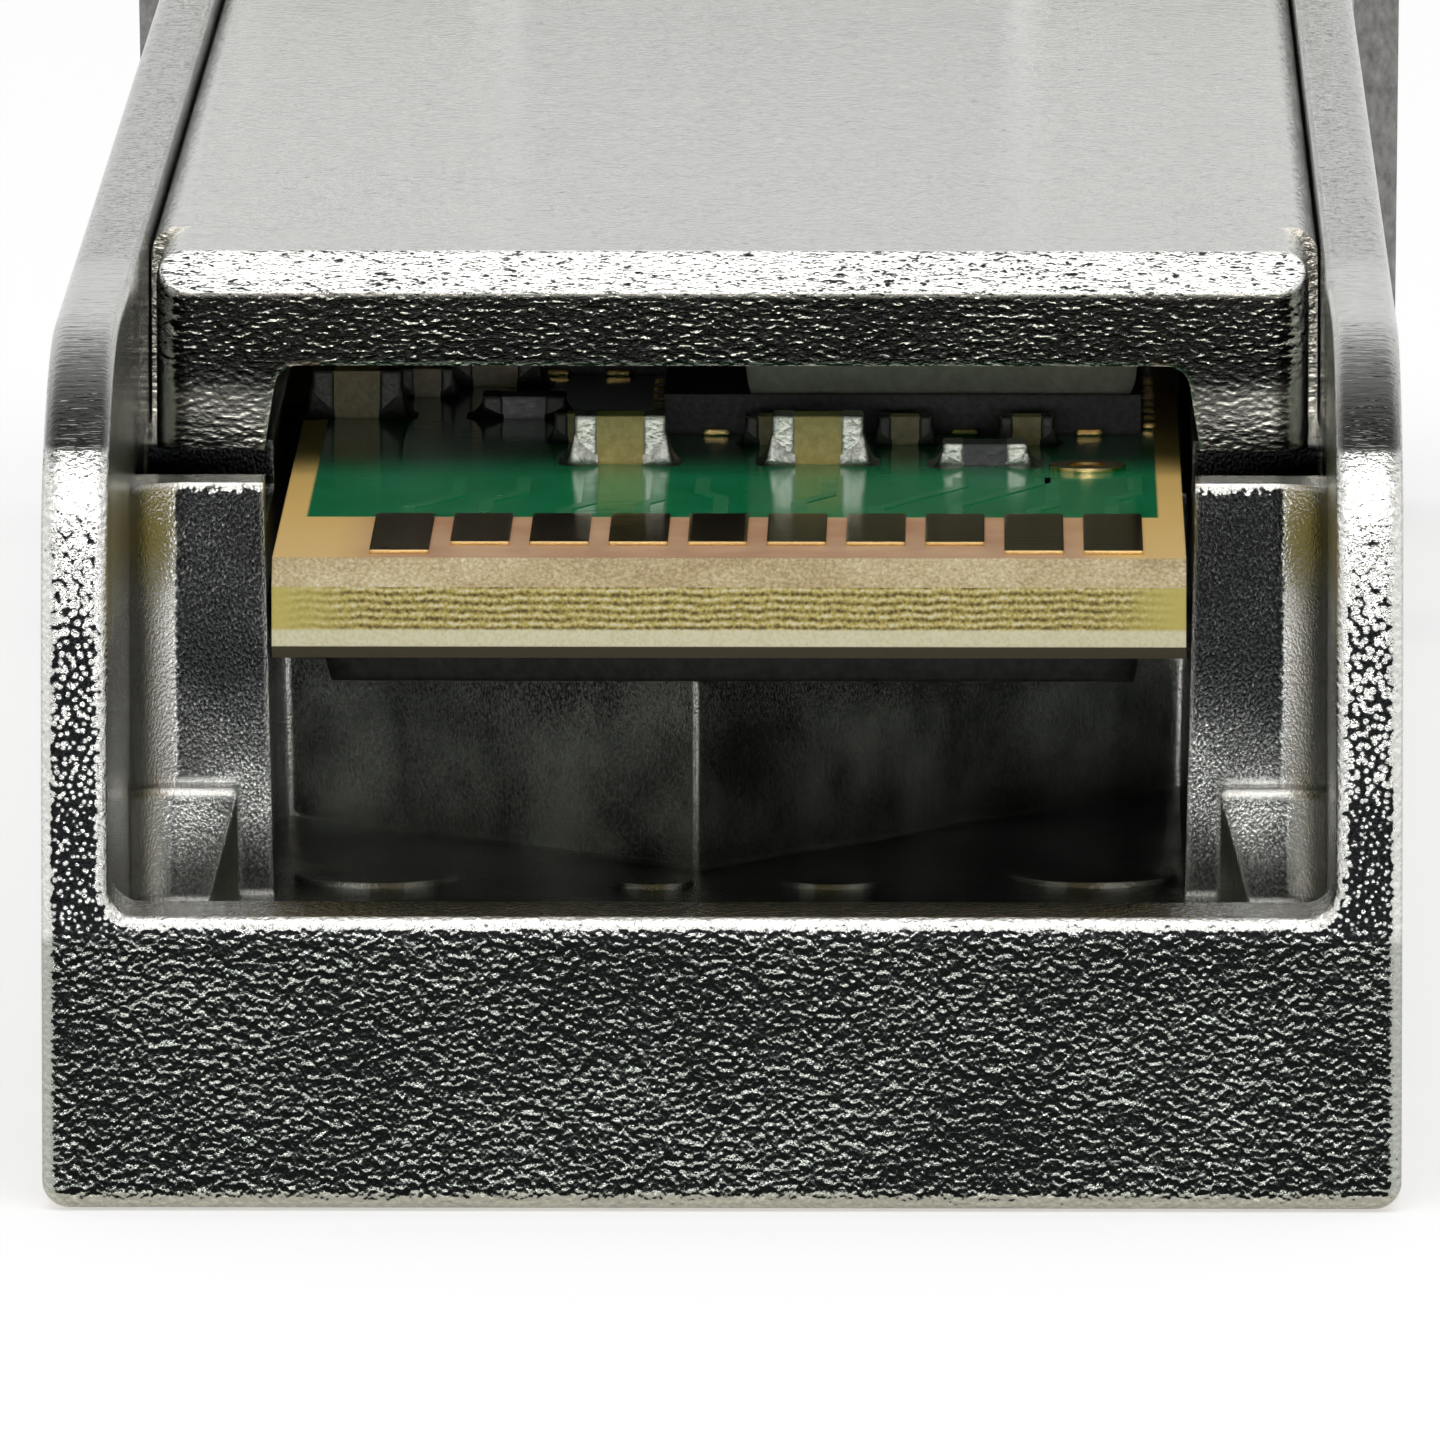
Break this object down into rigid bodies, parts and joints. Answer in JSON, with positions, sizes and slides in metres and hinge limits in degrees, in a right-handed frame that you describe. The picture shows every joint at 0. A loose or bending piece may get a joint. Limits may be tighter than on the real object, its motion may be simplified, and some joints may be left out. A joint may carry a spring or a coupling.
{
  "type": "optical transceiver module",
  "caption": "Pluggable optical transceiver module: cast metal body with a card-edge board at one end, twin fibre ports, a spring-finger collar and a bail latch at the other.",
  "frame": {"origin": "middle of the hood's outer face, which the module lies on", "axes": "+X across the module, +Y from the card-edge end to the fibre ports, +Z from the hood to the cover"},
  "size_m": [0.0152, 0.0586, 0.0096],
  "materials": {
    "plated_casting": "nickel-plated zinc casting with a fine grained surface",
    "steel": "plain spring steel",
    "optics_metal": "turned steel",
    "laminate": "glass-epoxy laminate with green solder mask",
    "gold": "gold plating",
    "ceramic_part": "tan ceramic with tinned ends",
    "dark_part": "black body with tinned ends",
    "chip_plastic": "black moulding compound",
    "gap_filler": "soft grey gap filler",
    "flex_film": "amber polyimide film",
    "receptacle_plastic": "black moulded plastic",
    "grip_plastic": "black moulded plastic"
  },
  "bodies": {
    "module": {"housing": "plated_casting", "bottom_cover": "plated_casting", "cover_screws": "steel", "optics_clamp": "steel", "emi_collar": "steel", "rocker_pin": "steel", "latch_spring": "steel", "transmitter_can": "optics_metal", "transmitter_barrel": "optics_metal", "receiver_can": "optics_metal", "receiver_barrel": "optics_metal", "circuit_board": "laminate", "upper_contacts": "gold", "lower_contacts": "gold", "ground_via": "gold", "capacitors": "ceramic_part", "small_capacitors": "ceramic_part", "resistors": "dark_part", "inductors": "dark_part", "driver_chip": "chip_plastic", "controller_chip": "chip_plastic", "upper_thermal_pad": "gap_filler", "lower_thermal_pad": "gap_filler", "transmitter_flex": "flex_film", "receiver_flex": "flex_film", "lc_receptacle": "receptacle_plastic"},
    "bail": {"bail": "steel", "bail_grip": "grip_plastic", "latch_cam": "steel"},
    "latch": {"latch_rocker": "steel"}
  },
  "joints": [
    {"name": "bail_hinge", "type": "hinge", "parent": "module", "child": "bail", "pos_m": [0, 0.02595, 0.008], "axis": [1, 0, 0], "range_deg": [0, 90]},
    {"name": "latch_pivot", "type": "hinge", "parent": "module", "child": "latch", "pos_m": [0, 0.02175, 0.008], "axis": [1, 0, 0], "range_deg": [0, 5.5]}
  ],
  "couplings": [
    {"joint": "latch_pivot", "follows": "bail_hinge", "ratio": 0.0611}
  ]
}
